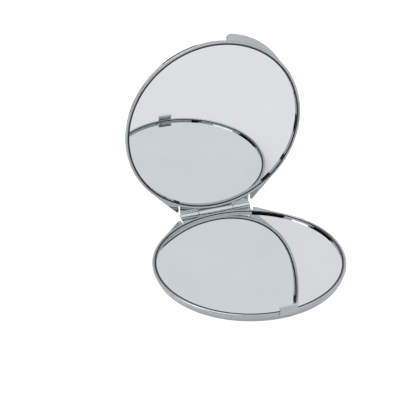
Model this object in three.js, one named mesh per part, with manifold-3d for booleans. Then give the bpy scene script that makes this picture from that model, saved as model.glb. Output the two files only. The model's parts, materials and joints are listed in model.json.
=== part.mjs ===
// Round compact mirror with two mirrors, a plain one in the lid and a magnifying one in the base. The
// base lies flat and the lid stands open on a three-knuckle hinge. Millimetres. X runs along the
// hinge, the latch is at the front on -Y, +Z is up. The origin is the centre of the underside, on the
// surface that the base rests on.
//
// Each half is drawn the same way: its mouth plane, where the two halves meet, is z = 0, its outer
// face points down, and its hinge is on the +Y side. The lid is turned over to its place at the end.
import * as THREE from 'three';
import { mergeVertices } from 'three/addons/utils/BufferGeometryUtils.js';
import Module from 'manifold-3d';

const wasm = await Module();
wasm.setup();

// Overall form
const frameRadius = 35;
const lidOpening = THREE.MathUtils.degToRad(85);
const hingeSetback = 1.35;

// Layers of one half, from its mouth plane to its outer face
const rimStandoff = 0.1;
const glassDepth = 1.2;
const glassThickness = 0.75;
const padThickness = 0.15;
const floorThickness = 0.5;
const filmThickness = 0.08;
const discThickness = 0.3;
const glueGap = 0.03;

// The base's magnifying mirror: thicker than the plain one, with a dished front, and glued to its
// floor without a pad
const magnifierThickness = 1.1;
const magnifierDish = 0.8;

// Frame: the hoop round the glass, with a skirt that tapers to a rounded lower edge
const wallThickness = 1.25;
const wallTopDrop = 0.45;
const skirtStraight = 0.35;
const skirtTaper = 0.65;
const skirtFillet = 0.3;
const discBorder = 1;

// Bezel ring: a crowned bead that caps the frame's wall, a slanted shelf inside it, and a spigot that
// reaches down to the glass
const beadWidth = 0.9;
const beadSetback = 0.05;
const spigotClearance = 0.05;
const bezelSeatGap = 0.05;
const bezelSeatInset = 0.65;
const bezelSeatDrop = 0.4;
const bezelShelfWidth = 0.6;
const bezelShelfDrop = 0.4;

// Glass, pad and outer disc, inside the frame
const glassEdgeClearance = 0.25;
const padInset = 1.2;
const discClearance = 0.1;
const filmInset = 0.6;

// Shoulders beside the hinge, in the flange that stands out of the frame's wall
const flangeThickness = 0.65;
const shoulderSetback = 1.88;
const shoulderCornerRadius = 0.6;
const notchClearance = 0.65;

// Thumb tab in the lid's flange: a crescent, with its angles measured from the latch
const tabReach = 2.5;
const tabStartAngle = THREE.MathUtils.degToRad(6.1);
const tabPeakAngle = THREE.MathUtils.degToRad(7.4);
const tabEndAngle = THREE.MathUtils.degToRad(50.4);
const tabCornerRadius = 1.6;

// Hinge
const hingeLength = 29.3;
const centreKnuckleLength = 14.4;
const knuckleRadius = 1.3;
const knuckleGap = 0.2;
const leafThickness = 0.5;
const leafClearance = 0.1;
const hingeRelief = 0.3;
const barrelClearance = 0.06;
const hingePinClearance = 0.05;
const hingePinRecess = 0.1;
const leafPinX = 9.5;

// Headless pins that hold the leaves and the latch's foot, dressed flush with the skirt. The edge is
// what the skirt's taper leaves outside a leaf pin's hole, at the bottom of the leaf's slot.
const fixingPinRadius = 0.35;
const fixingPinClearance = 0.05;
const fixingPinEdge = 0.03;

// Latch
const tongueWidth = 6.2;
const tongueThickness = 0.4;
const tongueRise = 2.1;
const tongueDrop = 1.2;
const tongueChamfer = 0.2;
const tongueGap = 0.1;
const hookReach = 0.7;
const hookThickness = 0.5;
const hookBevel = 0.3;
const catchClearance = 0.25;
const footWidth = 4;
const footThickness = 0.4;
const footLift = 0.05;
const footClearance = 0.1;

// Facets
const hoopFacets = 72;
const pinFacets = 16;
const knuckleFacets = 24;
const arcSteps = 6;
const cutOverrun = 1;

// Places worked out from the sizes above
const hingeY = frameRadius + hingeSetback;
const cavityRadius = frameRadius - wallThickness;
const wallMiddle = frameRadius - wallThickness / 2;
const wallTop = -wallTopDrop;
const glassFront = -glassDepth;
const glassBack = glassFront - glassThickness;
const padTop = glassBack - glueGap;
const padBottom = padTop - padThickness;
const lidFloorTop = padBottom - glueGap;
const magnifierBack = glassFront - magnifierThickness;
const baseFloorTop = magnifierBack - glueGap;
const recessTop = lidFloorTop - floorThickness;
const filmTop = recessTop - glueGap;
const filmBottom = filmTop - filmThickness;
const discTop = filmBottom - glueGap;
const outerFace = discTop - discThickness;
const halfDepth = -outerFace;
const skirtTop = wallTop - skirtStraight;
const seatRadius = frameRadius - bezelSeatInset;
const skirtBottomRadius = frameRadius - skirtTaper - skirtFillet;
const recessRadius = skirtBottomRadius - discBorder;
const discRadius = recessRadius - discClearance;
const glassRadius = cavityRadius - glassEdgeClearance;
const leafBottom = -knuckleRadius;
const leafTop = leafBottom + leafThickness;
const boreRadius = knuckleRadius - leafThickness;
const hingeFlatY = hingeY - knuckleRadius - hingeRelief;
const leafEdgeY = hingeY - Math.sqrt((knuckleRadius + barrelClearance) ** 2 - leafTop ** 2);
const leafSlotBottom = leafBottom - leafClearance;
const skirtLean = skirtTaper / (skirtTop - outerFace - skirtFillet);
const skirtAtSlot = frameRadius - skirtLean * (skirtTop - leafSlotBottom);
const leafPinCircle = skirtAtSlot - fixingPinEdge - fixingPinClearance - fixingPinRadius;
const leafPinY = Math.sqrt(leafPinCircle ** 2 - leafPinX ** 2);
const notchX = hingeLength / 2 + notchClearance;
const tongueInnerY = -frameRadius - tongueGap;
const tongueOuterY = tongueInnerY - tongueThickness;
const hookTipY = tongueInnerY + hookReach;
const hookUnderside = tongueRise - hookThickness;
const footBottom = footLift - tongueDrop;
const footTop = footBottom + footThickness;
const sides = { left: -1, right: 1 };

const chrome = new THREE.MeshStandardMaterial({ color: 0xc9ced0, roughness: 0.08, metalness: 1 });
const brightTrim = new THREE.MeshStandardMaterial({ color: 0xd4d8da, roughness: 0.05, metalness: 1 });
const satinSteel = new THREE.MeshStandardMaterial({ color: 0xa9b1b3, roughness: 0.4, metalness: 1 });
const silvered = new THREE.MeshStandardMaterial({ color: 0xdfe3e5, roughness: 0.02, metalness: 1 });
const springSteel = new THREE.MeshStandardMaterial({ color: 0xb2b8ba, roughness: 0.2, metalness: 1 });
const foam = new THREE.MeshStandardMaterial({ color: 0xe8e6df, roughness: 0.9, metalness: 0 });
const film = new THREE.MeshStandardMaterial({ color: 0xc8bfa6, roughness: 0.7, metalness: 0 });

// A closed geometry as a solid that can be cut: shared corners are merged and flat triangles dropped.
function solidOf(geometry) {
  const bare = geometry.clone();
  bare.deleteAttribute('normal');
  bare.deleteAttribute('uv');
  const merged = mergeVertices(bare);
  const index = merged.index.array;
  const kept = [];
  for (let i = 0; i < index.length; i += 3) {
    const [a, b, c] = index.slice(i, i + 3);
    if (a !== b && b !== c && c !== a) kept.push(a, b, c);
  }
  const vertProperties = new Float32Array(merged.attributes.position.array);
  return new wasm.Manifold(new wasm.Mesh({ numProp: 3, vertProperties, triVerts: new Uint32Array(kept) }));
}

function meshOf(name, solid, material) {
  const { vertProperties, triVerts } = solid.getMesh();
  const geometry = new THREE.BufferGeometry();
  geometry.setAttribute('position', new THREE.BufferAttribute(new Float32Array(vertProperties), 3));
  geometry.setIndex(new THREE.BufferAttribute(new Uint32Array(triVerts), 1));
  geometry.computeVertexNormals();
  const mesh = new THREE.Mesh(geometry, material);
  mesh.name = name;
  return mesh;
}

// A profile of [radius, height] pairs, anticlockwise, turned about the upright axis.
function turned(profile) {
  const points = profile.map(([radius, height]) => new THREE.Vector2(radius, height));
  return solidOf(new THREE.LatheGeometry(points, hoopFacets).rotateX(Math.PI / 2));
}

// A flat outline of [x, y] pairs, from one height up to another.
function plate(outline, low, high) {
  const shape = new THREE.Shape(outline.map(([x, y]) => new THREE.Vector2(x, y)));
  const geometry = new THREE.ExtrudeGeometry(shape, { depth: high - low, bevelEnabled: false });
  return solidOf(geometry.translate(0, 0, low));
}

function block([lowX, lowY, lowZ], [highX, highY, highZ]) {
  const geometry = new THREE.BoxGeometry(highX - lowX, highY - lowY, highZ - lowZ);
  return solidOf(geometry.translate((lowX + highX) / 2, (lowY + highY) / 2, (lowZ + highZ) / 2));
}

function uprightRod(radius, x, y, low, high) {
  const geometry = new THREE.CylinderGeometry(radius, radius, high - low, pinFacets);
  return solidOf(geometry.rotateX(Math.PI / 2).translate(x, y, (low + high) / 2));
}

function hingeRod(radius, lowX, highX) {
  const geometry = new THREE.CylinderGeometry(radius, radius, highX - lowX, knuckleFacets);
  return solidOf(geometry.rotateZ(Math.PI / 2).translate((lowX + highX) / 2, hingeY, 0));
}

function disc(radius, low, high) {
  return turned([[0, low], [radius, low], [radius, high], [0, high]]);
}

// Points on an arc about [x, y], from one angle to another, both ends included.
function arc([x, y], radius, from, to, steps = arcSteps) {
  return Array.from({ length: steps + 1 }, (_, i) => {
    const angle = from + ((to - from) * i) / steps;
    return [x + radius * Math.cos(angle), y + radius * Math.sin(angle)];
  });
}

// The hoop and its floor: a well for the glass above, with a sloped seat for the bezel round its mouth,
// a shallow recess for the satin disc below, and a skirt that tapers down to a rounded edge.
function hoop(floorTop) {
  const lowerEdge = arc([skirtBottomRadius, outerFace + skirtFillet], skirtFillet, -Math.PI / 2, 0);
  return turned([
    [0, recessTop],
    [recessRadius, recessTop],
    [recessRadius, outerFace],
    ...lowerEdge,
    [frameRadius, skirtTop],
    [frameRadius, wallTop],
    [seatRadius, wallTop],
    [cavityRadius, wallTop - bezelSeatDrop],
    [cavityRadius, floorTop],
    [0, floorTop],
  ]);
}

// One shoulder: its edge is the line that touches both the hoop's circle and the rounded corner
// beside the hinge.
function shoulder(side) {
  const cornerX = notchX + shoulderCornerRadius;
  const cornerY = hingeY - shoulderSetback - shoulderCornerRadius;
  const cornerLean = Math.acos((frameRadius - shoulderCornerRadius) / Math.hypot(cornerX, cornerY));
  const edgeNormal = Math.atan2(cornerY, cornerX) - cornerLean;
  const tangent = [frameRadius * Math.cos(edgeNormal), frameRadius * Math.sin(edgeNormal)];
  const corner = arc([cornerX, cornerY], shoulderCornerRadius, edgeNormal, Math.PI);
  const notchEnd = Math.acos(notchX / wallMiddle);
  const inner = arc([0, 0], wallMiddle, notchEnd, edgeNormal);
  const outline = [tangent, ...corner, ...inner].map(([x, y]) => [side * x, y]);
  return plate(outline, wallTop - flangeThickness, wallTop);
}

// The crescent's outer arc has its centre on the line to the tab's peak. It passes through the peak
// and meets the wall's middle at the tab's end. The other end, near the latch, is a rounded corner.
function thumbTab() {
  const peak = frameRadius + tabReach;
  const along = wallMiddle * Math.cos(tabEndAngle - tabPeakAngle);
  const arcRadius = (wallMiddle ** 2 + peak ** 2 - 2 * peak * along) / (2 * (peak - along));
  const offset = peak - arcRadius;
  const centre = [-offset * Math.sin(tabPeakAngle), -offset * Math.cos(tabPeakAngle)];
  const startX = -frameRadius * Math.sin(tabStartAngle);
  const cornerX = startX - tabCornerRadius;
  const cornerReach = arcRadius - tabCornerRadius;
  const cornerY = centre[1] - Math.sqrt(cornerReach ** 2 - (cornerX - centre[0]) ** 2);
  const cornerTurn = Math.atan2(cornerY - centre[1], cornerX - centre[0]);
  const endAngle = -Math.PI / 2 - tabEndAngle;
  const end = [wallMiddle * Math.cos(endAngle), wallMiddle * Math.sin(endAngle)];
  const endTurn = Math.atan2(end[1] - centre[1], end[0] - centre[0]);
  const startAngle = -Math.acos(startX / wallMiddle);
  const outline = [
    ...arc([cornerX, cornerY], tabCornerRadius, 0, cornerTurn),
    ...arc(centre, arcRadius, cornerTurn, endTurn, 2 * arcSteps).slice(1),
    ...arc([0, 0], wallMiddle, endAngle, startAngle, 2 * arcSteps).slice(1),
  ];
  return plate(outline, wallTop - flangeThickness, wallTop);
}

function fixingPinHole(x, y, top) {
  return uprightRod(fixingPinRadius + fixingPinClearance, x, y, outerFace - cutOverrun, top + cutOverrun);
}

// A headless pin from the skirt up to the given height. The hoop's own surface dresses its lower end.
function fixingPin(x, y, top) {
  const rod = uprightRod(fixingPinRadius, x, y, outerFace - cutOverrun, top);
  return rod.intersect(hoop(lidFloorTop));
}

// A frame with its shoulders, the slot that takes the hinge leaf, and the flat that clears the barrel.
function hingedFrame(floorTop) {
  const halfWidth = hingeLength / 2 + leafClearance;
  const inside = Math.sqrt(cavityRadius ** 2 - halfWidth ** 2) - cutOverrun;
  const outside = hingeY + knuckleRadius;
  const slot = block([-halfWidth, inside, leafSlotBottom], [halfWidth, outside, leafTop + leafClearance]);
  const flat = block([-notchX, hingeFlatY, outerFace - cutOverrun], [notchX, outside, cutOverrun]);
  let frame = hoop(floorTop).add(shoulder(sides.left)).add(shoulder(sides.right));
  frame = frame.subtract(slot).subtract(flat);
  for (const side of Object.values(sides)) {
    frame = frame.subtract(fixingPinHole(side * leafPinX, leafPinY, leafSlotBottom - cutOverrun));
  }
  return frame;
}

function baseFrame() {
  const footHalf = footWidth / 2 + footClearance;
  const slotBottom = footBottom - footClearance;
  const slot = block(
    [-footHalf, -frameRadius - cutOverrun, slotBottom],
    [footHalf, -cavityRadius + cutOverrun, footTop + footClearance],
  );
  const pinHole = fixingPinHole(0, -wallMiddle, slotBottom - cutOverrun);
  return hingedFrame(baseFloorTop).subtract(slot).subtract(pinHole);
}

function lidFrame() {
  const catchHalf = tongueWidth / 2 + catchClearance;
  const catchNotch = block(
    [-catchHalf, -frameRadius - cutOverrun, -tongueRise - catchClearance],
    [catchHalf, hookTipY + catchClearance, catchClearance - hookUnderside],
  );
  return hingedFrame(lidFloorTop).add(thumbTab()).subtract(catchNotch);
}

// The magnifying glass: flat behind, with a front that dips to its middle in an arc.
function magnifier() {
  const dishRadius = (glassRadius ** 2 + magnifierDish ** 2) / (2 * magnifierDish);
  const centre = [0, glassFront - magnifierDish + dishRadius];
  const edgeAngle = Math.asin(glassRadius / dishRadius) - Math.PI / 2;
  const dish = arc(centre, dishRadius, edgeAngle, -Math.PI / 2);
  return turned([[0, magnifierBack], [glassRadius, magnifierBack], ...dish]);
}

// The bead's crown is half an ellipse. Inside it a narrow shelf slants down, over the frame's sloped
// seat, to a wall that ends just above the glass.
function bezelRing() {
  const beadOuter = frameRadius - beadSetback;
  const beadMiddle = beadOuter - beadWidth / 2;
  const beadUnder = wallTop + bezelSeatGap;
  const beadHeight = -rimStandoff - beadUnder;
  const crown = arc([0, 0], 1, 0, Math.PI).map(([across, up]) => [
    beadMiddle + (across * beadWidth) / 2,
    beadUnder + up * beadHeight,
  ]);
  const spigotOuter = cavityRadius - spigotClearance;
  const low = glassFront + bezelSeatGap;
  const shelfRadius = beadOuter - beadWidth - bezelShelfWidth;
  return turned([
    [shelfRadius, low],
    [spigotOuter, low],
    [spigotOuter, beadUnder - bezelSeatDrop],
    [seatRadius, beadUnder],
    ...crown,
    [shelfRadius, beadUnder - bezelShelfDrop],
    [shelfRadius, low],
  ]);
}

// A sheet leaf in its slot, with the given spans along X rolled into knuckles round the hinge pin. Its
// edge reaches in under the other leaf's knuckles, as far as their clearance.
function hingeLeaf(knuckles) {
  const halfWidth = hingeLength / 2;
  const innerRadius = cavityRadius + leafClearance;
  const spread = Math.asin(halfWidth / innerRadius);
  const innerEdge = arc([0, 0], innerRadius, Math.PI / 2 + spread, Math.PI / 2 - spread, 2 * arcSteps);
  const outline = [[halfWidth, leafEdgeY], [-halfWidth, leafEdgeY], ...innerEdge];
  let leaf = plate(outline, leafBottom, leafTop);
  for (const [from, to] of knuckles) {
    const root = block([from, hingeFlatY - leafClearance, leafBottom], [to, hingeY, leafTop]);
    leaf = leaf.add(root).add(hingeRod(knuckleRadius, from, to));
  }
  leaf = leaf.subtract(hingeRod(boreRadius, -hingeLength, hingeLength));
  for (const side of Object.values(sides)) {
    leaf = leaf.subtract(fixingPinHole(side * leafPinX, leafPinY, leafTop));
  }
  return leaf;
}

function hingePin() {
  const end = hingeLength / 2 - hingePinRecess;
  return hingeRod(boreRadius - hingePinClearance, -end, end);
}

// The tongue's section in the YZ plane: an upright strip whose top turns in over the rim as a hook.
function latchTongue() {
  const section = [
    [tongueInnerY, -tongueDrop],
    [tongueInnerY, hookUnderside],
    [hookTipY, hookUnderside],
    [hookTipY, tongueRise - hookBevel],
    [hookTipY - hookBevel, tongueRise],
    [tongueOuterY + tongueChamfer, tongueRise],
    [tongueOuterY, tongueRise - tongueChamfer],
    [tongueOuterY, tongueChamfer - tongueDrop],
    [tongueOuterY + tongueChamfer, -tongueDrop],
  ];
  const shape = new THREE.Shape(section.map(([y, z]) => new THREE.Vector2(y, z)));
  const geometry = new THREE.ExtrudeGeometry(shape, { depth: tongueWidth, bevelEnabled: false });
  geometry.rotateX(Math.PI / 2).rotateZ(Math.PI / 2).translate(-tongueWidth / 2, 0, 0);
  return solidOf(geometry);
}

function latchFoot() {
  const innerEnd = -cavityRadius - footClearance;
  const outerEnd = tongueInnerY + footClearance;
  const strip = block([-footWidth / 2, outerEnd, footBottom], [footWidth / 2, innerEnd, footTop]);
  return strip.subtract(fixingPinHole(0, -wallMiddle, footTop));
}

// What both halves have: a bezel over the glass's edge, a satin disc on film outside, and leaf pins.
function addTrim(half, prefix) {
  half.add(
    meshOf(`${prefix}_bezel_ring`, bezelRing(), brightTrim),
    meshOf(`${prefix}_cover_film`, disc(discRadius - filmInset, filmBottom, filmTop), film),
    meshOf(`${prefix}_cover_disc`, disc(discRadius, outerFace, discTop), satinSteel),
  );
  for (const [sideName, side] of Object.entries(sides)) {
    half.add(meshOf(`${prefix}_leaf_pin_${sideName}`, fixingPin(side * leafPinX, leafPinY, leafTop), chrome));
  }
}

function baseHalf() {
  const half = new THREE.Group();
  const innerEnd = centreKnuckleLength / 2 + knuckleGap;
  const outerKnuckles = [[-hingeLength / 2, -innerEnd], [innerEnd, hingeLength / 2]];
  addTrim(half, 'base');
  half.add(
    meshOf('base_mirror_glass', magnifier(), silvered),
    meshOf('base_frame', baseFrame(), chrome),
    meshOf('base_hinge_leaf', hingeLeaf(outerKnuckles), chrome),
    meshOf('hinge_pin', hingePin(), springSteel),
    meshOf('latch_tongue', latchTongue(), springSteel),
    meshOf('latch_foot', latchFoot(), springSteel),
    meshOf('latch_foot_pin', fixingPin(0, -wallMiddle, footTop), chrome),
  );
  half.position.z = halfDepth;
  return half;
}

// The lid's half lies flat open behind the hinge when it is turned half a turn about the upright
// axis. From there it is lifted about the hinge to its standing angle.
function lidHalf() {
  const half = new THREE.Group();
  const centreKnuckle = [[-centreKnuckleLength / 2, centreKnuckleLength / 2]];
  addTrim(half, 'lid');
  half.add(
    meshOf('lid_mirror_glass', disc(glassRadius, glassBack, glassFront), silvered),
    meshOf('lid_mirror_pad', disc(glassRadius - padInset, padBottom, padTop), foam),
    meshOf('lid_frame', lidFrame(), chrome),
    meshOf('lid_hinge_leaf', hingeLeaf(centreKnuckle), chrome),
  );
  half.position.y = -hingeY;
  const swing = new THREE.Group();
  swing.add(half);
  swing.rotation.set(Math.PI - lidOpening, 0, Math.PI);
  swing.position.set(0, hingeY, halfDepth);
  return swing;
}

const compactMirror = new THREE.Group();
compactMirror.add(baseHalf(), lidHalf());

export default compactMirror;
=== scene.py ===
"""Looks of a round two-mirror compact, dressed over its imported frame.

Lengths are metres in the frame's own axes: X along the hinge, +Y from the latch back to the hinge,
+Z up, with the origin at the centre of the underside. Each half is worked out in half space, where
its mouth plane is z = 0, its outer face points down and its hinge is on +Y, and is then placed.
"""
import json
import logging
import math
from dataclasses import dataclass, field
from enum import Enum
from typing import Sequence

import bmesh
import bpy
import numpy as np
from mathutils import Matrix, Vector


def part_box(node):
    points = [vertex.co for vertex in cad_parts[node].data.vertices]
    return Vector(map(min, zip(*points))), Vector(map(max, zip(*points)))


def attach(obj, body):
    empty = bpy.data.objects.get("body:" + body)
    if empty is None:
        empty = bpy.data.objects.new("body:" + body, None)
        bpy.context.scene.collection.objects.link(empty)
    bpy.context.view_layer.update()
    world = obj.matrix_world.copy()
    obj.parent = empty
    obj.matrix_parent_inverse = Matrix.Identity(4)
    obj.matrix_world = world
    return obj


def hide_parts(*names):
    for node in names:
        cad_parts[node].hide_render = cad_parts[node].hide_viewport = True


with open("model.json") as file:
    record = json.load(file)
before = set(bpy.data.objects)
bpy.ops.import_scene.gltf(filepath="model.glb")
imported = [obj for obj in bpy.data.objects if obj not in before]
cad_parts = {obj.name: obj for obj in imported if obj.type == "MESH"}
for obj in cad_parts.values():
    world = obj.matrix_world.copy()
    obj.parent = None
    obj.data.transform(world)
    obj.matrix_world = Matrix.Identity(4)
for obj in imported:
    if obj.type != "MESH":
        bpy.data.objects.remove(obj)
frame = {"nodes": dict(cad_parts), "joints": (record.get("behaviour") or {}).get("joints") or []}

log = logging.getLogger("compact")
MM = 0.001
SEGMENTS = 360
MERGE_DISTANCE = 0.2e-6


class Side(Enum):
    """Which side of the hinge's middle a repeated piece is on, as seen from the latch."""

    LEFT = -1
    RIGHT = 1


# Shapes on numpy arrays


def arc(centre: Sequence[float], radius: float, start: float, end: float, steps: int) -> np.ndarray:
    """Points on a circle: centre + radius * (cos a, sin a), for a from start to end.

    Args:
        centre: The circle's centre.
        radius: The circle's radius.
        start: First angle, in radians.
        end: Last angle, in radians.
        steps: Number of steps between the two.

    Returns:
        An array of steps + 1 points.
    """
    a = np.linspace(start, end, steps + 1)
    return np.column_stack([centre[0] + radius * np.cos(a), centre[1] + radius * np.sin(a)])


def rounded(corners: Sequence[tuple[float, float, float]], steps: int = 6) -> np.ndarray:
    """A closed outline whose corners are rounded by arcs.

    Each corner is replaced by the arc of its radius that touches both of its edges: the arc starts
    radius / tan(half the corner's angle) before the corner.

    Args:
        corners: Each corner as x, y and its radius, where 0 keeps it sharp.
        steps: Number of steps in each arc.

    Returns:
        The outline's points, in the corners' order.
    """
    points = np.array([c[:2] for c in corners], float)
    parts = []
    for before, here, after, corner in zip(np.roll(points, 1, 0), points, np.roll(points, -1, 0), corners):
        radius = corner[2]
        if radius == 0:
            parts.append(here[None])
            continue
        u = (before - here) / np.linalg.norm(before - here)
        v = (after - here) / np.linalg.norm(after - here)
        half = math.acos(float(np.clip(u @ v, -1, 1))) / 2
        centre = here + (u + v) / np.linalg.norm(u + v) * radius / math.sin(half)
        reach = radius / math.tan(half)
        first, last = here + u * reach - centre, here + v * reach - centre
        start = math.atan2(first[1], first[0])
        turn = math.atan2(first[0] * last[1] - first[1] * last[0], first @ last)
        parts.append(arc(centre, radius, start, start + turn, steps))
    return np.concatenate(parts)


def outward(outline: np.ndarray) -> np.ndarray:
    """Offset directions of an anticlockwise outline.

    Each is the sum of the two edges' outward unit normals times 2 over its own length squared, so that
    a point that moves along it by a distance moves both of its edges by that distance. It is held back
    where the outline turns by more than 120 degrees.

    Args:
        outline: The outline's points.

    Returns:
        One direction for each point.
    """
    edge = np.roll(outline, -1, 0) - outline
    edge /= np.linalg.norm(edge, axis=1)[:, None]
    normal = np.column_stack([edge[:, 1], -edge[:, 0]])
    mean = normal + np.roll(normal, 1, 0)
    return mean * 2 / np.maximum((mean**2).sum(1), 1)[:, None]


@dataclass
class Solid:
    """A closed mesh as arrays, before it is a Blender object."""

    points: np.ndarray
    quads: np.ndarray
    caps: list[list[int]] = field(default_factory=list)

    def placed(self, matrix: np.ndarray) -> "Solid":
        """The same solid with its points carried by a 4 x 4 matrix."""
        return Solid(self.points @ matrix[:3, :3].T + matrix[:3, 3], self.quads, self.caps)


def grid_quads(rows: int, columns: int, closed_rows: bool) -> np.ndarray:
    """Faces between neighbouring rows of a grid whose columns close round.

    Args:
        rows: Number of rows.
        columns: Number of columns.
        closed_rows: Whether the last row joins the first.

    Returns:
        An array of corner numbers, four to a face.
    """
    i, j = np.meshgrid(np.arange(rows if closed_rows else rows - 1), np.arange(columns), indexing="ij")
    here, above = i * columns, (i + 1) % rows * columns
    beside = (j + 1) % columns
    return np.stack([here + j, here + beside, above + beside, above + j], -1).reshape(-1, 4)


def turned(profile: np.ndarray, segments: int = SEGMENTS) -> Solid:
    """A solid of revolution about Z: (r cos a, r sin a, z) for each profile point and each angle a.

    Args:
        profile: Anticlockwise points of radius and height. A profile that doesn't reach the axis
            at its ends is closed there by flat caps.
        segments: Number of angles.

    Returns:
        The closed solid.
    """
    a = np.linspace(0, 2 * math.pi, segments, endpoint=False)
    r, z = profile[:, :1], profile[:, 1:]
    points = np.stack([r * np.cos(a), r * np.sin(a), z + 0 * a], -1).reshape(-1, 3)
    rows = len(profile)
    capped = not np.allclose(profile[0], profile[-1])
    if not capped:
        rows -= 1
        points = points[: rows * segments]
    quads = grid_quads(rows, segments, not capped)
    caps = []
    if capped:
        first = np.arange(segments)
        caps = [first[::-1].tolist(), (first + (rows - 1) * segments).tolist()]
    return Solid(points, quads, caps)


def plate(outline: np.ndarray, low: float, high: float, edge: float, steps: int = 4) -> Solid:
    """A plate with rounded edges: the outline carried up a quarter round, a wall and a quarter round.

    At an angle b of the quarter round the outline moves in by edge * (1 - sin b) and the height lies
    edge * (1 - cos b) from the face.

    Args:
        outline: Anticlockwise outline.
        low: Height of the lower face.
        high: Height of the upper face.
        edge: Radius of the edges.
        steps: Steps in each quarter round.

    Returns:
        The closed solid.
    """
    b = np.linspace(0, math.pi / 2, steps + 1)
    inset = np.concatenate([edge * (1 - np.sin(b)), edge * (1 - np.sin(b))[::-1]])
    height = np.concatenate([low + edge * (1 - np.cos(b)), high - edge * (1 - np.cos(b))[::-1]])
    flat = outline[None] - outward(outline)[None] * inset[:, None, None]
    z = np.broadcast_to(height[:, None, None], (*flat.shape[:2], 1))
    points = np.concatenate([flat, z], -1).reshape(-1, 3)
    count = len(outline)
    first = np.arange(count)
    caps = [first[::-1].tolist(), (first + (len(height) - 1) * count).tolist()]
    return Solid(points, grid_quads(len(height), count, False), caps)


def block(low: Sequence[float], high: Sequence[float]) -> Solid:
    """A plain box between two corners, used for cutting."""
    outline = np.array([[low[0], low[1]], [high[0], low[1]], [high[0], high[1]], [low[0], high[1]]], float)
    return plate(outline, low[2], high[2], edge=0, steps=0)


def rod(centre: Sequence[float], radius: float, low: float, high: float, steps: int = 48) -> Solid:
    """An upright round rod, used for cutting."""
    return plate(arc(centre, radius, 0, 2 * math.pi, steps)[:-1], low, high, edge=0, steps=0)


# Meshes in Blender


def new_object(name: str, solid: Solid) -> bpy.types.Object:
    """Makes a mesh object from a solid: curved faces shade smooth and caps shade flat.

    Args:
        name: The object's name.
        solid: The solid.

    Returns:
        The linked object, at the origin.
    """
    mesh = bpy.data.meshes.new(name)
    mesh.from_pydata(solid.points.tolist(), [], solid.quads.tolist() + solid.caps)
    smooth = np.ones(len(mesh.polygons), bool)
    smooth[len(solid.quads):] = False
    mesh.polygons.foreach_set("use_smooth", smooth)
    mesh.validate()
    made = bpy.data.objects.new(name, mesh)
    bpy.context.scene.collection.objects.link(made)
    return made


def carve(made: bpy.types.Object, joins: Sequence[Solid] = (), cuts: Sequence[Solid] = ()) -> None:
    """Joins solids to an object, cuts others from it, and applies the result to its mesh.

    Args:
        made: The object that changes.
        joins: Solids that are added.
        cuts: Solids that are taken away.
    """
    tools = []
    for kind, solids in (("UNION", joins), ("DIFFERENCE", cuts)):
        for solid in solids:
            tool = new_object(f"{made.name}_tool", solid)
            step = made.modifiers.new(kind.lower(), "BOOLEAN")
            step.operation, step.object, step.solver = kind, tool, "EXACT"
            tools.append(tool)
    graph = bpy.context.evaluated_depsgraph_get()
    result = bpy.data.meshes.new_from_object(made.evaluated_get(graph))
    made.modifiers.clear()
    made.data = result
    for tool in tools:
        bpy.data.objects.remove(tool)


def finish_mesh(made: bpy.types.Object, crease_deg: float = 32) -> None:
    """Closes doubles and marks edges above an angle as sharp, so that flat and round faces read.

    Faces with more than four corners are flat, and shade flat. Elsewhere normals lean to the larger of
    their faces, so that a small rounded edge doesn't bend the reflection in a flat face beside it.

    Args:
        made: The object.
        crease_deg: Edges that turn more than this are sharp.
    """
    work = bmesh.new()
    work.from_mesh(made.data)
    bmesh.ops.remove_doubles(work, verts=work.verts, dist=MERGE_DISTANCE)
    work.to_mesh(made.data)
    work.free()
    mesh = made.data
    mesh.set_sharp_from_angle(angle=math.radians(crease_deg))
    corners = np.zeros(len(mesh.polygons), np.int32)
    mesh.polygons.foreach_get("loop_total", corners)
    mesh.polygons.foreach_set("use_smooth", corners <= 4)
    mesh.update()
    weighted = made.modifiers.new("face_weighted_normals", "WEIGHTED_NORMAL")
    weighted.weight, weighted.keep_sharp = 100, True


# Finishes


def linear(srgb: Sequence[float]) -> tuple[float, float, float, float]:
    """Turns screen values into linear light by the usual sRGB curve.

    Args:
        srgb: Red, green and blue from 0 to 255.

    Returns:
        Linear red, green and blue, and an alpha of 1.
    """
    c = np.array(srgb, float) / 255
    lin = np.where(c <= 0.04045, c / 12.92, ((c + 0.055) / 1.055) ** 2.4)
    return (*lin.tolist(), 1.0)


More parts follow.
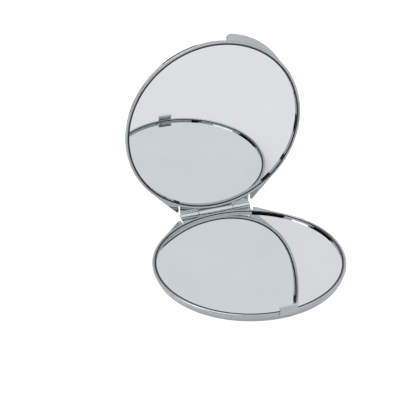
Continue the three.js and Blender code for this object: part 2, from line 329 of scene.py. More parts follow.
class Nodes:
    """A material's node tree, with short calls for the nodes that these finishes share."""

    NOISE_LOW = 0.3
    NOISE_HIGH = 0.7

    def __init__(self, name: str) -> None:
        """Starts a material that holds one Principled shader."""
        self.material = bpy.data.materials.new(name)
        self.material.use_nodes = True
        self.tree = self.material.node_tree
        self.shader = self.tree.nodes["Principled BSDF"]
        self.coordinates = self.tree.nodes.new("ShaderNodeTexCoord")

    def mapped(self, scale: Sequence[float]) -> bpy.types.NodeSocket:
        """Object coordinates, scaled along each axis.

        Args:
            scale: The factor along X, Y and Z.

        Returns:
            The socket of the scaled coordinates.
        """
        node = self.tree.nodes.new("ShaderNodeMapping")
        node.inputs["Scale"].default_value = scale
        self.tree.links.new(self.coordinates.outputs["Object"], node.inputs["Vector"])
        return node.outputs["Vector"]

    def noise(self, scale: Sequence[float], detail: float, roughness: float = 0.5) -> bpy.types.NodeSocket:
        """Noise on the object's own coordinates.

        Args:
            scale: About how often the noise repeats in a metre along X, Y and Z.
            detail: Number of finer layers.
            roughness: How strong the finer layers are.

        Returns:
            The socket of the noise value.
        """
        node = self.tree.nodes.new("ShaderNodeTexNoise")
        node.inputs["Scale"].default_value = 1
        node.inputs["Detail"].default_value = detail
        node.inputs["Roughness"].default_value = roughness
        self.tree.links.new(self.mapped(scale), node.inputs["Vector"])
        return node.outputs["Fac"]

    def ranged(self, source: bpy.types.NodeSocket, low: float, high: float) -> bpy.types.NodeSocket:
        """A noise value, which lies between NOISE_LOW and NOISE_HIGH, spread between two values.

        Args:
            source: The socket of the noise value.
            low: What the lowest noise becomes.
            high: What the highest noise becomes.

        Returns:
            The socket of the spread value.
        """
        node = self.tree.nodes.new("ShaderNodeMapRange")
        node.inputs["From Min"].default_value = self.NOISE_LOW
        node.inputs["From Max"].default_value = self.NOISE_HIGH
        node.inputs["To Min"].default_value = low
        node.inputs["To Max"].default_value = high
        self.tree.links.new(source, node.inputs["Value"])
        return node.outputs["Result"]

    def colour(self, source: bpy.types.NodeSocket, dark: Sequence[float], light: Sequence[float]) -> None:
        """Base colour that drifts between two tones with a noise value.

        Args:
            source: The socket of the noise value.
            dark: The darker tone, in screen values.
            light: The lighter tone, in screen values.
        """
        node = self.tree.nodes.new("ShaderNodeMix")
        node.data_type = "RGBA"
        node.inputs["A"].default_value = linear(dark)
        node.inputs["B"].default_value = linear(light)
        self.tree.links.new(self.ranged(source, 0, 1), node.inputs["Factor"])
        self.tree.links.new(node.outputs["Result"], self.shader.inputs["Base Color"])

    def roughness(self, source: bpy.types.NodeSocket, low: float, high: float) -> None:
        """Roughness that drifts between two values with a noise value."""
        self.tree.links.new(self.ranged(source, low, high), self.shader.inputs["Roughness"])

    def bump(self, source: bpy.types.NodeSocket, height: float, strength: float) -> None:
        """A relief that turns the surface's normal.

        Args:
            source: The socket of the noise value.
            height: The relief's height in metres.
            strength: The relief's strength, from 0 to 1.
        """
        node = self.tree.nodes.new("ShaderNodeBump")
        node.inputs["Distance"].default_value = height
        node.inputs["Strength"].default_value = strength
        self.tree.links.new(source, node.inputs["Height"])
        self.tree.links.new(node.outputs["Normal"], self.shader.inputs["Normal"])


@dataclass(frozen=True)
class Finish:
    """A finish whose colour, gloss and relief each drift with a noise of their own.

    Tones are screen values from 0 to 255. Scales are repeats in a metre along X, Y and Z.
    """

    name: str
    dark: tuple[float, float, float]
    light: tuple[float, float, float]
    gloss_low: float
    gloss_high: float
    metallic: float = 1.0
    tone_scale: tuple[float, float, float] = (60, 60, 60)
    gloss_scale: tuple[float, float, float] = (300, 300, 300)
    relief_scale: tuple[float, float, float] = (900, 900, 900)
    relief_height: float = 0.0
    relief_strength: float = 0.0

    def material(self) -> bpy.types.Material:
        """Builds the finish's material.

        Returns:
            The new material.
        """
        nodes = Nodes(self.name)
        nodes.shader.inputs["Metallic"].default_value = self.metallic
        tone = nodes.noise(self.tone_scale, detail=3)
        nodes.colour(tone, self.dark, self.light)
        gloss = nodes.noise(self.gloss_scale, detail=4, roughness=0.6)
        nodes.roughness(gloss, self.gloss_low, self.gloss_high)
        if self.relief_strength:
            relief = nodes.noise(self.relief_scale, detail=3, roughness=0.6)
            nodes.bump(relief, self.relief_height, self.relief_strength)
        return nodes.material


POLISHED_FRAME = Finish("polished_frame", (175, 181, 183), (183, 188, 190), 0.03, 0.08)
BRIGHT_BEZEL = Finish("bright_bezel", (178, 183, 185), (186, 191, 193), 0.02, 0.05)
SILVERED_GLASS = Finish("silvered_glass", (223, 226, 228), (226, 229, 231), 0.004, 0.018)
SATIN_FACE = Finish(
    "satin_face",
    (164, 170, 172),
    (169, 175, 177),
    0.3,
    0.42,
    gloss_scale=(40, 6000, 6000),
    relief_scale=(60, 9000, 9000),
    relief_height=0.02 * MM,
    relief_strength=0.5,
)
HINGE_PLATE = Finish("hinge_plate", (198, 206, 208), (207, 214, 216), 0.05, 0.1)
LATCH_PLATE = Finish("latch_plate", (169, 175, 178), (181, 186, 189), 0.08, 0.16)
# Painted highlight: a paler tone of the same spring steel for the latch's top and back faces.
LATCH_PAINTED_HIGHLIGHT = Finish("latch_back", (214, 217, 219), (222, 225, 227), 0.3, 0.4)
DRAWN_STEEL = Finish(
    "drawn_steel", (140, 144, 146), (160, 164, 166), 0.2, 0.35, gloss_scale=(60, 4000, 4000)
)
FOAM = Finish(
    "foam_pad",
    (222, 220, 212),
    (234, 232, 226),
    0.85,
    0.95,
    metallic=0.0,
    relief_scale=(4000, 4000, 4000),
    relief_height=0.05 * MM,
    relief_strength=0.6,
)
FILM = Finish("adhesive_film", (200, 190, 164), (210, 201, 178), 0.5, 0.7, metallic=0.0)
# Painted shade: a black, unlit finish for the dark line where the bezel meets the glass.
PAINTED_SHADE_LINE = Finish("shadow_line", (12, 13, 14), (22, 24, 25), 0.35, 0.5, metallic=0.0)


# The compact's pieces


@dataclass
class Sizes:
    """Sizes that the pieces share, in metres. The rim, the seam and the hinge line come from the frame."""

    rim: float = 0.0
    seam: float = 0.0
    hinge_y: float = 0.0
    lid_opening: float = math.radians(85)
    wall: float = 1.25 * MM
    wall_top: float = -0.45 * MM
    skirt_top: float = -0.8 * MM
    skirt_taper: float = 0.65 * MM
    skirt_fillet: float = 0.3 * MM
    disc_border: float = 1.0 * MM
    recess_top: float = -2.66 * MM
    flange_bottom: float = -1.1 * MM
    flange_edge: float = 0.12 * MM
    notch_x: float = 15.3 * MM
    glass_front: float = -1.2 * MM
    fixing_hole: float = 0.4 * MM
    fixing_pin_x: float = 9.5 * MM
    leaf_half: float = 14.65 * MM
    centre_knuckle_half: float = 7.2 * MM
    knuckle_gap: float = 0.2 * MM
    leaf_low: float = -1.3 * MM
    leaf_high: float = -0.8 * MM
    leaf_gap: float = 0.1 * MM
    barrel_flat: float = 1.6 * MM
    barrel_room: float = 2.0 * MM
    glass_thickness: float = 0.75 * MM
    glass_gap: float = 0.25 * MM
    disc_thickness: float = 0.3 * MM
    disc_gap: float = 0.1 * MM
    disc_edge: float = 0.05 * MM
    seat_inset: float = 0.65 * MM
    seat_drop: float = 0.4 * MM
    cut_overrun: float = 1.0 * MM
    ground_edge: float = 0.1 * MM

    def __post_init__(self) -> None:
        """Reads the rim, the seam and the hinge line from the frame."""
        self.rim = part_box("base_frame")[1].x
        pivot = next(j for j in frame["joints"] if j["name"] == "lid_hinge")["pos_m"]
        self.hinge_y, self.seam = pivot[1], pivot[2]

    @property
    def cavity(self) -> float:
        """Radius of the frame's inside wall."""
        return self.rim - self.wall

    @property
    def wall_middle(self) -> float:
        """Radius of the middle of the frame's wall."""
        return self.rim - self.wall / 2

    @property
    def outer_face(self) -> float:
        """Height of the outer face in half space."""
        return -self.seam

    @property
    def glass(self) -> float:
        """Radius of the mirror glass, which has a clearance in the wall."""
        return self.cavity - self.glass_gap

    @property
    def skirt_bottom(self) -> float:
        """Radius at which the skirt's rounded lower edge meets the outer face."""
        return self.rim - self.skirt_taper - self.skirt_fillet

    @property
    def recess(self) -> float:
        """Radius of the recess that holds the satin disc."""
        return self.skirt_bottom - self.disc_border


def placement_of(sizes: Sizes, opening: float | None) -> np.ndarray:
    """The matrix from half space to the frame.

    Args:
        sizes: The shared sizes.
        opening: The lid's opening in radians, or None for the base.

    Returns:
        A 4 x 4 matrix. The lid's half is turned half a turn about Z, then lifted about the hinge.
    """
    matrix = np.eye(4)
    if opening is None:
        matrix[2, 3] = sizes.seam
        return matrix
    lean = math.pi - opening
    c, s = math.cos(lean), math.sin(lean)
    turn = np.array([[1, 0, 0], [0, c, -s], [0, s, c]]) @ np.diag([-1.0, -1.0, 1.0])
    hinge = np.array([0, sizes.hinge_y, 0])
    matrix[:3, :3] = turn
    matrix[:3, 3] = np.array([0, sizes.hinge_y, sizes.seam]) - turn @ hinge
    return matrix


@dataclass
class Half:
    """One half of the compact: its frame, bezel, mirror and satin disc."""

    name: str
    body: str
    sizes: Sizes
    matrix: np.ndarray
    floor_top: float = -2.16 * MM
    shoulder_setback: float = 1.88 * MM
    shoulder_corner: float = 0.6 * MM
    bead_width: float = 0.75 * MM
    bead_setback: float = 0.05 * MM
    bead_top: float = -0.14 * MM
    bead_under: float = -0.4 * MM
    spigot_gap: float = 0.05 * MM
    rim_edge: float = 0.06 * MM
    floor_reach: float = 2.0 * MM
    shelf_width: float = 0.75 * MM
    shelf_drop: float = 0.1 * MM
    bright_share: float = 0.12
    skirt_steps: int = 6
    corner_steps: int = 16
    crown_steps: int = 32

    def show(self, piece: str, solid: Solid, finish: Finish, slot: str, *nodes: str) -> bpy.types.Object:
        """Places a solid, dresses it and lets it stand for its nodes.

        Args:
            piece: Name of the piece, after the half's own name.
            solid: The solid in half space.
            finish: The piece's finish.
            slot: The record's material slot.
            nodes: The nodes that it stands for.

        Returns:
            The new object.
        """
        made = new_object(f"{self.name}_{piece}", solid.placed(self.matrix))
        return dress(made, finish, slot, self.body, *nodes)

    def hoop_profile(self) -> np.ndarray:
        """The frame's section.

        It runs along the recess, the rounded lower edge, the tapered skirt, the wall, the bezel's sloped
        seat and the inside wall. A corner that two stretches share is kept once.

        Returns:
            Anticlockwise points of radius and height.
        """
        s = self.sizes
        fillet_centre = (s.skirt_bottom, s.outer_face + s.skirt_fillet)
        lower_edge = arc(fillet_centre, s.skirt_fillet, -math.pi / 2, 0, self.skirt_steps)
        floor = s.recess - self.floor_reach
        under = rounded([
            (floor, s.recess_top, 0),
            (s.recess, s.recess_top, 0),
            (s.recess, s.outer_face, self.rim_edge),
            (s.skirt_bottom, s.outer_face, 0),
        ])[:-1]
        over = rounded([
            lower_edge[-1].tolist() + [0],
            (s.rim, s.skirt_top, 2 * self.rim_edge),
            (s.rim, s.wall_top, self.rim_edge),
            (s.rim - s.seat_inset, s.wall_top, 0),
            (s.cavity, s.wall_top - s.seat_drop, 0),
            (s.cavity, self.floor_top, 0),
            (floor, self.floor_top, 0),
        ])[1:]
        return np.concatenate([under, lower_edge, over])

    def shoulder(self, side: Side) -> Solid:
        """A flange beside the hinge.

        Its edge is the line that touches both the rim's circle and the corner's, and the corner turns it
        square to the hinge. The line's normal lies at the angle of the corner's centre, less the angle
        whose cosine is (rim - corner) / the centre's distance.

        Args:
            side: The side of the hinge's middle.

        Returns:
            The flange in half space.
        """
        s = self.sizes
        corner_x = s.notch_x + self.shoulder_corner
        corner_y = s.hinge_y - self.shoulder_setback - self.shoulder_corner
        lean = math.acos((s.rim - self.shoulder_corner) / math.hypot(corner_x, corner_y))
        normal = math.atan2(corner_y, corner_x) - lean
        tangent = s.rim * np.array([[math.cos(normal), math.sin(normal)]])
        steps = self.corner_steps
        corner = arc((corner_x, corner_y), self.shoulder_corner, normal, math.pi, steps)
        inner = arc((0, 0), s.wall_middle, math.acos(s.notch_x / s.wall_middle), normal, steps)
        outline = np.concatenate([tangent, corner, inner])
        if side is Side.LEFT:
            outline = (outline * [-1, 1])[::-1]
        return plate(outline, s.flange_bottom, s.wall_top, s.flange_edge)

    def frame_cuts(self) -> list[Solid]:
        """The flat beside the barrel, the leaf's slot and its pins' holes.

        Returns:
            The solids that the frame loses.
        """
        s = self.sizes
        back = s.hinge_y + s.barrel_room
        inside = math.sqrt(s.cavity**2 - s.leaf_half**2) - s.cut_overrun
        flat = block(
            (-s.notch_x, s.hinge_y - s.barrel_flat, s.outer_face - s.cut_overrun),
            (s.notch_x, back, s.cut_overrun),
        )
        half = s.leaf_half + s.leaf_gap
        slot = block((-half, inside, s.leaf_low - s.leaf_gap), (half, back, s.leaf_high + s.leaf_gap))
        pin_x = s.fixing_pin_x
        pin_y = math.sqrt(s.wall_middle**2 - pin_x**2)
        holes = [
            rod((side.value * pin_x, pin_y), s.fixing_hole, s.outer_face - s.cut_overrun, s.leaf_low)
            for side in Side
        ]
        return [flat, slot, *holes]

    def extra_joins(self) -> list[Solid]:
        """What only this half's frame adds."""
        return []

    def extra_cuts(self) -> list[Solid]:
        """What only this half's frame loses."""
        return []

    def build_frame(self) -> None:
        """The polished frame: the hoop with its shoulders, cut for the hinge."""
        made = new_object(f"{self.name}_frame_shell", turned(self.hoop_profile()))
        joins = [self.shoulder(side) for side in Side] + self.extra_joins()
        carve(made, joins, self.frame_cuts() + self.extra_cuts())
        made.data.transform(matrix_for_blender(self.matrix))
        finish_mesh(made)
        dress(made, POLISHED_FRAME, "chrome_frame", self.body, f"{self.name}_frame")

    def build_bezel(self) -> None:
        """The bezel: a crowned bead, a narrow shelf and a wall down to the glass.

        The crown is half an ellipse, with half the bead's width * cos b across and its height * sin b up.
        The shelf is painted black as shade but for its outer part, and a little flatter than the solid's,
        so that it shows as a dark line of painted shade all round.
        """
        s = self.sizes
        outer = s.rim - self.bead_setback
        middle = outer - self.bead_width / 2
        b = np.linspace(0, math.pi, self.crown_steps + 1)[1:]
        crown = np.column_stack([
            middle + self.bead_width / 2 * np.cos(b),
            self.bead_under + (self.bead_top - self.bead_under) * np.sin(b),
        ])
        low = s.glass_front + self.spigot_gap
        wall = outer - self.bead_width - self.shelf_width
        spigot = s.cavity - self.spigot_gap
        start = np.array([
            [wall, low],
            [spigot, low],
            [spigot, self.bead_under - s.seat_drop],
            [s.rim - s.seat_inset, self.bead_under],
            [outer, self.bead_under],
        ])
        width, drop = self.bright_share * self.shelf_width, self.bright_share * self.shelf_drop
        shelf = np.array([
            [outer - self.bead_width - width, self.bead_under - drop],
            [wall, self.bead_under - self.shelf_drop],
            [wall, low],
        ])
        ring = turned(np.concatenate([start, crown, shelf]))
        made = self.show("bezel_trim", ring, BRIGHT_BEZEL, "bright_bezel", f"{self.name}_bezel_ring")
        # The shelf's inner faces take the black finish of painted shade.
        made.data.materials.append(material_of(PAINTED_SHADE_LINE))
        first = (len(start) + len(crown)) * SEGMENTS
        dark = np.zeros(len(made.data.polygons), np.int32)
        dark[first:first + SEGMENTS] = 1
        made.data.polygons.foreach_set("material_index", dark)
        finish_mesh(made, crease_deg=24)

    def glass_profile(self) -> np.ndarray:
        """The plain mirror's section: flat on both sides, with a ground edge.

        The first and last corners only give the arcs their directions, and are dropped.

        Returns:
            Anticlockwise points of radius and height.
        """
        s = self.sizes
        back = s.glass_front - s.glass_thickness
        return rounded([
            (s.glass / 2, back, 0),
            (s.glass, back, s.ground_edge),
            (s.glass, s.glass_front, s.ground_edge),
            (s.glass / 2, s.glass_front, 0),
        ])[1:-1]

    def build_glass(self) -> None:
        """The mirror glass."""
        node = f"{self.name}_mirror_glass"
        made = self.show("mirror_plate", turned(self.glass_profile()), SILVERED_GLASS, "mirror_glass", node)
        finish_mesh(made, crease_deg=8)

    def build_disc(self) -> None:
        """The satin disc in the outer face, with its edges broken."""
        s = self.sizes
        radius, top, edge = s.recess - s.disc_gap, s.outer_face + s.disc_thickness, s.disc_edge
        profile = rounded([
            (radius / 2, s.outer_face, 0),
            (radius, s.outer_face, edge),
            (radius, top, edge),
            (radius / 2, top, 0),
        ])[1:-1]
        made = self.show("satin_disc", turned(profile), SATIN_FACE, "satin_disc", f"{self.name}_cover_disc")
        finish_mesh(made, crease_deg=20)

    def build(self) -> None:
        """Builds the half's pieces in order."""
        for step in (self.build_frame, self.build_bezel, self.build_glass, self.build_disc):
            step()
            log.info("%s: %s", self.name, step.__name__)


@dataclass
class LidHalf(Half):
    """The lid, whose flange also has the thumb tab and whose skirt has the latch's catch."""

    tab_reach: float = 2.497 * MM
    tab_corner: float = 1.6 * MM
    tab_start: float = math.radians(6.1)
    tab_peak: float = math.radians(7.4)
    tab_end: float = math.radians(50.4)
    tab_steps: int = 48
    catch_half: float = 3.35 * MM
    catch_low: float = -2.35 * MM
    catch_high: float = -1.35 * MM
    catch_depth: float = 0.85 * MM

    def extra_joins(self) -> list[Solid]:
        """The thumb tab: a crescent between the wall and an arc whose centre lies towards its peak.

        The arc passes through the peak and the crescent's end, so its radius is (wall squared + peak
        squared - 2 * peak * along) / (2 * (peak - along)), where along is the end's reach towards the peak.

        Returns:
            The tab in half space.
        """
        s = self.sizes
        peak = s.rim + self.tab_reach
        along = s.wall_middle * math.cos(self.tab_end - self.tab_peak)
        radius = (s.wall_middle**2 + peak**2 - 2 * peak * along) / (2 * (peak - along))
        offset = peak - radius
        centre = (-offset * math.sin(self.tab_peak), -offset * math.cos(self.tab_peak))
        start_x = -s.rim * math.sin(self.tab_start)
        corner_x = start_x - self.tab_corner
        reach = radius - self.tab_corner
        corner_y = centre[1] - math.sqrt(reach**2 - (corner_x - centre[0]) ** 2)
        corner_turn = math.atan2(corner_y - centre[1], corner_x - centre[0])
        end_angle = -math.pi / 2 - self.tab_end
        end = s.wall_middle * np.array([math.cos(end_angle), math.sin(end_angle)])
        end_turn = math.atan2(end[1] - centre[1], end[0] - centre[0])
        start_angle = -math.acos(start_x / s.wall_middle)
        outline = np.concatenate([
            arc((corner_x, corner_y), self.tab_corner, 0, corner_turn, self.corner_steps),
            arc(centre, radius, corner_turn, end_turn, self.tab_steps)[1:],
            arc((0, 0), s.wall_middle, end_angle, start_angle, self.tab_steps)[1:],
        ])
        return [plate(outline[::-1], s.flange_bottom, s.wall_top, s.flange_edge)]

    def extra_cuts(self) -> list[Solid]:
        """The catch pocket, as deep as the latch's hook with its clearance.

        Returns:
            The solid that the lid's frame loses.
        """
        s = self.sizes
        low = (-self.catch_half, -s.rim - s.cut_overrun, self.catch_low)
        high = (self.catch_half, -s.rim + self.catch_depth, self.catch_high)
        return [block(low, high)]


@dataclass
class BaseHalf(Half):
    """The base, whose glass magnifies and whose wall also has the slot for the latch's foot."""

    floor_top: float = -2.33 * MM
    magnifier: float = 1.1 * MM
    dish: float = 0.8 * MM
    dish_centre: float = 0.2 * MM
    dish_rings: int = 90
    foot_half: float = 2.1 * MM
    foot_low: float = -1.25 * MM
    foot_high: float = -0.65 * MM
    foot_hole_top: float = -1.0 * MM

    def glass_profile(self) -> np.ndarray:
        """The magnifying mirror's section: flat behind, with a front that dips by the dish's depth.

        The front is an arc whose radius is (glass radius squared + dish squared) / (2 * dish).

        Returns:
            Anticlockwise points of radius and height.
        """
        s = self.sizes
        back = s.glass_front - self.magnifier
        radius = (s.glass**2 + self.dish**2) / (2 * self.dish)
        rings = np.linspace(s.glass, self.dish_centre, self.dish_rings)
        front = s.glass_front - self.dish + radius - np.sqrt(radius**2 - rings**2)
        behind = rounded([
            (s.glass / 2, back, 0),
            (s.glass, back, s.ground_edge),
            (s.glass, s.glass_front, 0),
        ])[1:-1]
        return np.concatenate([behind, np.column_stack([rings, front])])

    def extra_cuts(self) -> list[Solid]:
        """The foot's slot and its pin's hole.

        Returns:
            The solids that the base's frame loses.
        """
        s = self.sizes
        low = (-self.foot_half, -s.rim - s.cut_overrun, self.foot_low)
        high = (self.foot_half, -s.cavity + s.cut_overrun, self.foot_high)
        below = s.outer_face - s.cut_overrun
        hole = rod((0, -s.wall_middle), s.fixing_hole, below, self.foot_hole_top)
        return [block(low, high), hole]


@dataclass
class HingeLeaf:
    """A sheet leaf whose back edge is rolled into knuckles."""

    name: str
    body: str
    sizes: Sizes
    matrix: np.ndarray
    spans: list[tuple[float, float]]
    knuckle: float = 1.3 * MM
    sheet: float = 0.5 * MM
    edge: float = 0.05 * MM
    barrel_clearance: float = 0.06 * MM
    root_reach: float = 0.9 * MM
    roll_end: float = math.radians(214)
    roll_steps: int = 72
    edge_steps: int = 24

    def rolled_section(self) -> np.ndarray:
        """The knuckle's section: a flat root that rolls round the pin and stops just above itself.

        Returns:
            Anticlockwise points in the YZ plane.
        """
        s = self.sizes
        root_y = s.hinge_y - self.knuckle - self.root_reach
        centre, start, steps = (s.hinge_y, 0), -math.pi / 2, self.roll_steps
        outer = arc(centre, self.knuckle, start, self.roll_end, steps)
        inner = arc(centre, self.knuckle - self.sheet, self.roll_end, start, steps)
        root = np.array([[root_y, self.sheet - self.knuckle], [root_y, -self.knuckle]])
        return np.concatenate([outer, inner, root])

    def build(self) -> None:
        """The plate in its slot, joined to its knuckles."""
        s = self.sizes
        inner = s.cavity + s.leaf_gap
        spread = math.asin(s.leaf_half / inner)
        hidden = arc((0, 0), inner, math.pi / 2 + spread, math.pi / 2 - spread, self.edge_steps)
        clear = self.knuckle + self.barrel_clearance
        back = s.hinge_y - math.sqrt(clear**2 - (self.knuckle - self.sheet) ** 2)
        corners = np.array([[s.leaf_half, back], [-s.leaf_half, back]])
        strap = plate(np.concatenate([corners, hidden]), -self.knuckle, self.sheet - self.knuckle, self.edge)
        made = new_object(f"{self.name}_hinge_strap", strap)
        section = self.rolled_section()
        knuckles = []
        for low, high in self.spans:
            roll = plate(section, low, high, self.edge)
            roll.points = roll.points[:, [2, 0, 1]]
            knuckles.append(roll)
        carve(made, knuckles)
        made.data.transform(matrix_for_blender(self.matrix))
        finish_mesh(made)
        dress(made, HINGE_PLATE, "hinge_chrome", self.body, f"{self.name}_hinge_leaf")
        log.info("%s: hinge leaf with %d knuckles", self.name, len(self.spans))


@dataclass
class Latch:
    """The hooked spring tongue on the base's front edge."""

    sizes: Sizes
    half_width: float = 3.1 * MM
    thickness: float = 0.4 * MM
    gap: float = 0.1 * MM
    rise: float = 2.1 * MM
    drop: float = 1.2 * MM
    hook_reach: float = 0.7 * MM
    hook_thickness: float = 0.5 * MM
    edge: float = 0.07 * MM
    outer_bend: float = 0.35 * MM
    hook_nose: float = 0.3 * MM
    inner_bend: float = 0.12 * MM
    foot_edge: float = 0.15 * MM
    small_edge: float = 0.08 * MM
    bend_steps: int = 10

    def build(self) -> None:
        """The tongue, whose section in the YZ plane has a rolled outer bend and a softened hook.

        The faces from the inner lower corner round to the hook's top are paler than the front: a painted
        highlight.
        """
        s = self.sizes
        inner = -s.rim - self.gap
        outer, tip = inner - self.thickness, inner + self.hook_reach
        under = self.rise - self.hook_thickness
        section = rounded([
            (outer, -self.drop, self.foot_edge),
            (inner, -self.drop, self.small_edge),
            (inner, under, self.inner_bend),
            (tip, under, self.small_edge),
            (tip, self.rise, self.hook_nose),
            (outer, self.rise, self.outer_bend),
        ], self.bend_steps)
        bar = plate(section, -self.half_width, self.half_width, self.edge)
        bar.points = bar.points[:, [2, 0, 1]] + [0, 0, s.seam]
        made = new_object("latch_hook", bar)
        dress(made, LATCH_PLATE, "latch_spring", "latch", "latch_tongue")
        # The top and back faces take the paler tone of the painted highlight.
        made.data.materials.append(material_of(LATCH_PAINTED_HIGHLIGHT))
        column = np.arange(len(bar.quads)) % len(section)
        per_corner = self.bend_steps + 1
        back = (column >= per_corner) & (column < len(section) - per_corner)
        tones = np.append(back, [False] * len(bar.caps)).astype(np.int32)
        made.data.polygons.foreach_set("material_index", tones)
        finish_mesh(made)
        log.info("latch: tongue")


# Dressing and the studio

MATERIALS: dict[str, bpy.types.Material] = {}


def matrix_for_blender(matrix: np.ndarray) -> Matrix:
    """A numpy matrix as Blender's own."""
    return Matrix(matrix.tolist())


def material_of(finish: Finish) -> bpy.types.Material:
    """The finish's material, built once.

    Args:
        finish: The finish.

    Returns:
        Its material.
    """
    if finish.name not in MATERIALS:
        MATERIALS[finish.name] = finish.material()
    return MATERIALS[finish.name]


def dress(made: bpy.types.Object, finish: Finish, slot: str, body: str, *nodes: str) -> bpy.types.Object:
    """Gives a piece its finish and its body, and hides the nodes that it stands for.

    Args:
        made: The piece.
        finish: Its finish.
        slot: The record's material slot; not used.
        body: The body that it rides on.
        nodes: Nodes that it replaces.

    Returns:
        The same piece.
    """
    made.data.materials.clear()
    made.data.materials.append(material_of(finish))
    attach(made, body)
    if nodes:
        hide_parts(*nodes)
    return made


def dress_nodes() -> None:
    """Gives every node that still shows its procedural finish."""
    finishes = {
        "mirror_pad": FOAM,
        "cover_film": FILM,
        "leaf_pin": POLISHED_FRAME,
        "foot_pin": POLISHED_FRAME,
        "hinge_pin": DRAWN_STEEL,
        "latch_foot": LATCH_PLATE,
    }
    for name, node in frame["nodes"].items():
        if node.hide_render:
            continue
        finish = next(f for key, f in finishes.items() if key in name)
        node.data.materials.clear()
        node.data.materials.append(material_of(finish))


@dataclass(frozen=True)
class SoftBox:
    """A square area lamp that points at the compact: its place, power in watts and size."""

    name: str
    place: tuple[float, float, float]
    power: float
    size: float


SOFT_BOXES = (
    SoftBox("left_box", (-0.55, 0.1, 0.6), 1.3, 0.42),
    SoftBox("top_box", (-0.2, 0.1, 0.8), 0.8, 0.36),
)


@dataclass(frozen=True)
class Studio:
    """A white table and surround, black cards for the polished edges, and soft lamps."""

    floor_half: float = 1.5
    floor_drop: float = 0.02 * MM
    floor_bottom: float = -0.01
    floor_tone: float = 0.5
    camera_lift: float = 0.8
    glossy_lift: float = 0.4
    sky_front: float = 1.06
    sky_back: float = 0.88
    sky_blend: float = 0.6
    band_radius: float = 1.3
    band_height: float = 0.12
    band_steps: int = 96
    card_radius: float = 0.45
    card_from: float = math.radians(-160)
    card_to: float = math.radians(-116)
    card_low: float = 0.17
    card_high: float = 0.4
    card_thickness: float = 0.01
    card_steps: int = 12
    card_tone: float = 0.01
    lamp_target: tuple[float, float, float] = (0.0, 0.0, 0.02)
    camera_place: tuple[float, float, float] = (-0.081355, -0.205407, 0.145895)
    camera_turn_deg: tuple[float, float, float] = (61.5989, 1.8015, -18.2079)
    camera_lens: float = 64.8418
    camera_sensor: float = 36.0
    camera_near: float = 0.01
    camera_far: float = 10.0

    def stage_mesh(self, name: str, solid: Solid, tone: float) -> tuple[bpy.types.Object, bpy.types.Material]:
        """A stage piece with a matt material of one grey.

        Args:
            name: The piece's name.
            solid: Its shape.
            tone: Its linear grey.

        Returns:
            The piece and its material.
        """
        made = new_object(name, solid)
        material = bpy.data.materials.new(f"{name}_surface")
        material.use_nodes = True
        shader = material.node_tree.nodes["Principled BSDF"]
        shader.inputs["Base Color"].default_value = (tone,) * 3 + (1.0,)
        shader.inputs["Roughness"].default_value = 1.0
        shader.inputs["Specular IOR Level"].default_value = 0.0
        made.data.materials.append(material)
        return made, material

    def build_floor(self) -> None:
        """The table: matt and pale, so that it keeps the object's shadow.

        It is lifted to white for the camera, and somewhat less in metal and glass.
        """
        h = self.floor_half
        solid = block((-h, -h, self.floor_bottom), (h, h, -self.floor_drop))
        _, material = self.stage_mesh("table", solid, self.floor_tone)
        tree = material.node_tree
        path = tree.nodes.new("ShaderNodeLightPath")
        seen = tree.nodes.new("ShaderNodeMath")
        seen.operation = "MULTIPLY"
        seen.inputs[1].default_value = self.camera_lift
        both = tree.nodes.new("ShaderNodeMath")
        both.operation = "MULTIPLY_ADD"
        both.inputs[1].default_value = self.glossy_lift
        shader = tree.nodes["Principled BSDF"]
        shader.inputs["Emission Color"].default_value = (1.0, 1.0, 1.0, 1.0)
        tree.links.new(path.outputs["Is Camera Ray"], seen.inputs[0])
        tree.links.new(path.outputs["Is Glossy Ray"], both.inputs[0])
        tree.links.new(seen.outputs["Value"], both.inputs[2])
        tree.links.new(both.outputs["Value"], shader.inputs["Emission Strength"])

    def build_cards(self) -> None:
        """Black cards for the polished metal to show: a low band round the table, and an upright one.

        The upright card stands beside the camera. The camera sees neither.
        """
        outline = arc((0, 0), self.band_radius, 0, 2 * math.pi, self.band_steps)[:-1]
        walls = plate(outline, 0, self.band_height, edge=0, steps=0)
        band, _ = self.stage_mesh("black_band", walls, self.card_tone)
        work = bmesh.new()
        work.from_mesh(band.data)
        flat = [f for f in work.faces if len(f.verts) > 4]
        bmesh.ops.delete(work, geom=flat, context="FACES")
        work.to_mesh(band.data)
        work.free()
        steps = self.card_steps
        inside = arc((0, 0), self.card_radius, self.card_to, self.card_from, steps)
        behind = self.card_radius + self.card_thickness
        outside = arc((0, 0), behind, self.card_from, self.card_to, steps)
        upright = plate(np.concatenate([inside, outside]), self.card_low, self.card_high, edge=0, steps=0)
        card, _ = self.stage_mesh("side_card", upright, self.card_tone)
        band.visible_camera = card.visible_camera = False

    def build_world(self) -> None:
        """A white surround, a little brighter in front than behind, and plain white to the camera."""
        world = bpy.data.worlds.new("white_surround")
        bpy.context.scene.world = world
        world.use_nodes = True
        tree = world.node_tree
        background = tree.nodes["Background"]
        background.inputs["Color"].default_value = (1.0, 1.0, 1.0, 1.0)
        coordinates = tree.nodes.new("ShaderNodeTexCoord")
        split = tree.nodes.new("ShaderNodeSeparateXYZ")
        across = tree.nodes.new("ShaderNodeMapRange")
        across.inputs["From Min"].default_value = -self.sky_blend
        across.inputs["From Max"].default_value = self.sky_blend
        across.inputs["To Min"].default_value = self.sky_front
        across.inputs["To Max"].default_value = self.sky_back
        tree.links.new(coordinates.outputs["Generated"], split.inputs["Vector"])
        tree.links.new(split.outputs["Y"], across.inputs["Value"])
        path = tree.nodes.new("ShaderNodeLightPath")
        white = tree.nodes.new("ShaderNodeMath")
        white.operation = "MAXIMUM"
        tree.links.new(across.outputs["Result"], white.inputs[0])
        tree.links.new(path.outputs["Is Camera Ray"], white.inputs[1])
        tree.links.new(white.outputs["Value"], background.inputs["Strength"])

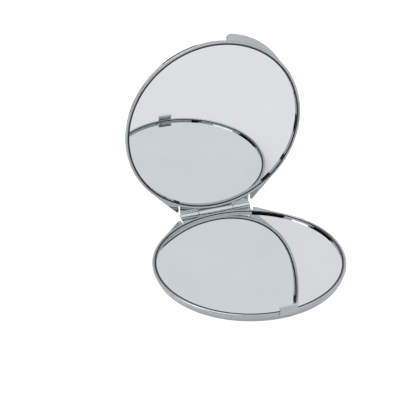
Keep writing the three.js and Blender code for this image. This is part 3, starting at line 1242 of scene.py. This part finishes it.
    def build_lamps(self) -> None:
        """Two soft boxes, one high on the left and one nearly overhead."""
        for box in SOFT_BOXES:
            data = bpy.data.lights.new(box.name, "AREA")
            data.energy, data.size = box.power, box.size
            lamp = bpy.data.objects.new(box.name, data)
            lamp.location = box.place
            lamp.rotation_euler = aim(box.place, self.lamp_target)
            bpy.context.scene.collection.objects.link(lamp)

    def build_camera(self) -> None:
        """The photograph's viewpoint: left of the front and about 33 degrees above the table."""
        data = bpy.data.cameras.new("viewpoint")
        data.lens, data.sensor_width = self.camera_lens, self.camera_sensor
        data.clip_start, data.clip_end = self.camera_near, self.camera_far
        camera = bpy.data.objects.new("viewpoint", data)
        camera.location = self.camera_place
        camera.rotation_euler = [math.radians(a) for a in self.camera_turn_deg]
        bpy.context.scene.collection.objects.link(camera)
        bpy.context.scene.camera = camera

    def build(self) -> None:
        """Builds the table, cards, surround, lamps and camera, and sets the view."""
        self.build_floor()
        self.build_cards()
        self.build_world()
        self.build_lamps()
        self.build_camera()
        bpy.context.scene.view_settings.view_transform = "Standard"
        log.info("studio ready")


def aim(place: Sequence[float], target: Sequence[float]) -> tuple[float, float, float]:
    """Euler angles that turn a lamp's -Z from its place to a target."""
    return tuple((Vector(target) - Vector(place)).to_track_quat("-Z", "Y").to_euler())


def main() -> None:
    """Builds the compact's pieces and the studio."""
    logging.basicConfig(level=logging.INFO, format="%(message)s")
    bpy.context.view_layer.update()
    sizes = Sizes()
    base_matrix = placement_of(sizes, None)
    lid_matrix = placement_of(sizes, sizes.lid_opening)
    BaseHalf("base", "base", sizes, base_matrix).build()
    LidHalf("lid", "lid", sizes, lid_matrix).build()
    middle, end = sizes.centre_knuckle_half, sizes.leaf_half
    beside = middle + sizes.knuckle_gap
    HingeLeaf("base", "base", sizes, base_matrix, [(-end, -beside), (beside, end)]).build()
    HingeLeaf("lid", "lid", sizes, lid_matrix, [(-middle, middle)]).build()
    Latch(sizes).build()
    dress_nodes()
    Studio().build()


if __name__ == "__main__":
    main()
